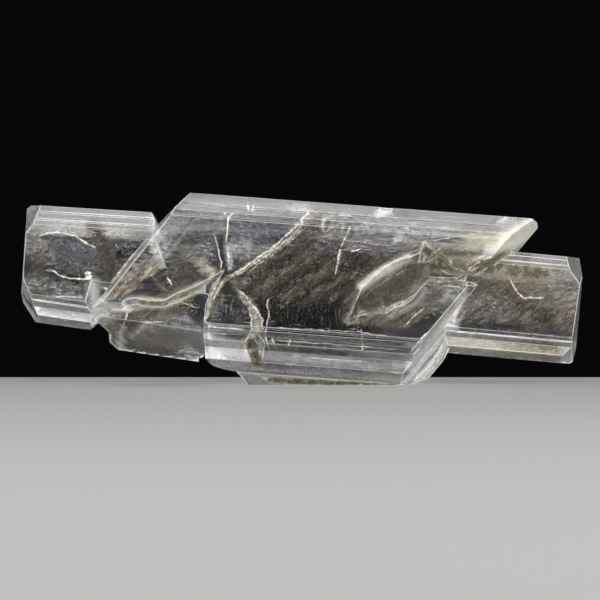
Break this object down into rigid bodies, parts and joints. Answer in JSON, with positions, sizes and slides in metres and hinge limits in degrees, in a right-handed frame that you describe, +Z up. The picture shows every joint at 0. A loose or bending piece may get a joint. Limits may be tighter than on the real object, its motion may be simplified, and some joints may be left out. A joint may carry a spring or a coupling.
{
  "type": "gypsum crystal",
  "caption": "Clear gypsum (selenite) specimen: flat crystals grown through each other end to end, with brown clay and white cracks inside.",
  "frame": {"origin": "centre of the bounding box's bottom face, in the plane that the specimen rests on", "axes": "+X along the specimen, towards the end with the beak; +Y into its thickness, from the large front face to the back; +Z up"},
  "size_m": [0.0944, 0.022, 0.032],
  "materials": {
    "selenite": "clear with a vitreous to silky lustre, frosted along its edges and striated along its length",
    "clay": "matte brown clay enclosed in the crystal",
    "healed_crack": "white to cream, satin"
  },
  "bodies": {
    "root": {"gypsum_crystal": "selenite"}
  },
  "joints": []
}
